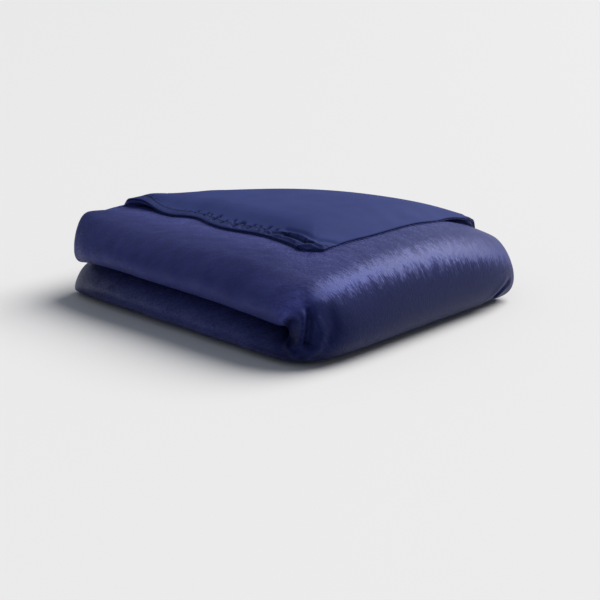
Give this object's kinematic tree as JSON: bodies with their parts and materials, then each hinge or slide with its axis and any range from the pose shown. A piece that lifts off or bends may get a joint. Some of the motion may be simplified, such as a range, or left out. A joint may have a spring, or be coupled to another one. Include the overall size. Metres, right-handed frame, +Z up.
{
  "type": "folded weighted blanket",
  "caption": "Plush weighted blanket folded into a thick square pad, with a corner of the top layer turned back over it and a hem hanging over the rear edge.",
  "frame": {"origin": "middle of the folded pad's footprint, on the surface it lies on", "axes": "+Z up, +X towards the last fold, -Y towards the rolled long side, +Y towards the edge that the hem hangs over"},
  "size_m": [0.4642, 0.4454, 0.1314],
  "materials": {
    "plush_body": "short navy plush with a soft sheen",
    "reverse_panel": "smooth matte navy microfibre"
  },
  "bodies": {
    "root": {"plush_body": "plush_body", "reverse_panel": "reverse_panel"}
  },
  "joints": []
}
